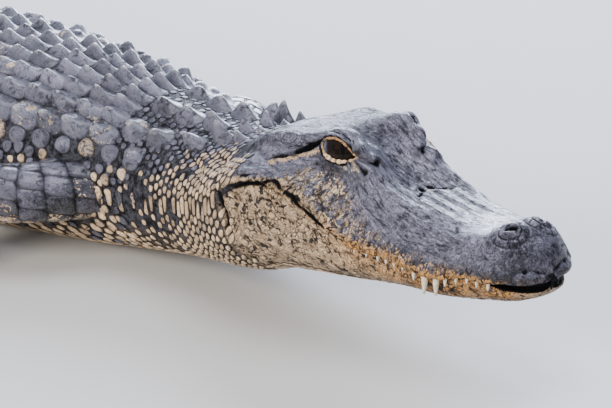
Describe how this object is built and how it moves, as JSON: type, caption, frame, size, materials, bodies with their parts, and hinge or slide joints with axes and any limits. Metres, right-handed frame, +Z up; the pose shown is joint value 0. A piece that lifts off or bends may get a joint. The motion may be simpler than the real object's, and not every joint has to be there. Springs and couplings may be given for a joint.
{
  "type": "american alligator",
  "caption": "American alligator lying on its belly on spread legs, head lifted a little with the mouth shut, tail swept to one side and tapering to its tip.",
  "frame": {"origin": "middle of the footprint's bounding box, on the floor", "axes": "+X runs from the hips over the shoulders to the snout, +Y to the animal's left, +Z up"},
  "size_m": [2.3182, 0.8914, 0.1914],
  "materials": {
    "hide": "wet scaly hide, slate above and cream below",
    "eye": "wet and glossy, very dark brown",
    "horn": "claws of dark horn and ivory teeth, smooth"
  },
  "bodies": {
    "root": {"belly": "hide", "chest": "hide", "ear_left": "hide", "ear_right": "hide", "eye_left": "eye", "eye_right": "eye", "foreleg_left_claw_1": "horn", "foreleg_left_claw_2": "horn", "foreleg_left_claw_3": "horn", "foreleg_left_foot": "hide", "foreleg_left_lower": "hide", "foreleg_left_upper": "hide", "foreleg_right_claw_1": "horn", "foreleg_right_claw_2": "horn", "foreleg_right_claw_3": "horn", "foreleg_right_foot": "hide", "foreleg_right_lower": "hide", "foreleg_right_upper": "hide", "head_upper": "hide", "hindleg_left_claw_1": "horn", "hindleg_left_claw_2": "horn", "hindleg_left_claw_3": "horn", "hindleg_left_foot": "hide", "hindleg_left_lower": "hide", "hindleg_left_upper": "hide", "hindleg_right_claw_1": "horn", "hindleg_right_claw_2": "horn", "hindleg_right_claw_3": "horn", "hindleg_right_foot": "hide", "hindleg_right_lower": "hide", "hindleg_right_upper": "hide", "jaw_lower": "hide", "neck": "hide", "pelvis": "hide", "tail_base": "hide", "tail_middle": "hide", "tail_tip": "hide"}
  },
  "joints": []
}
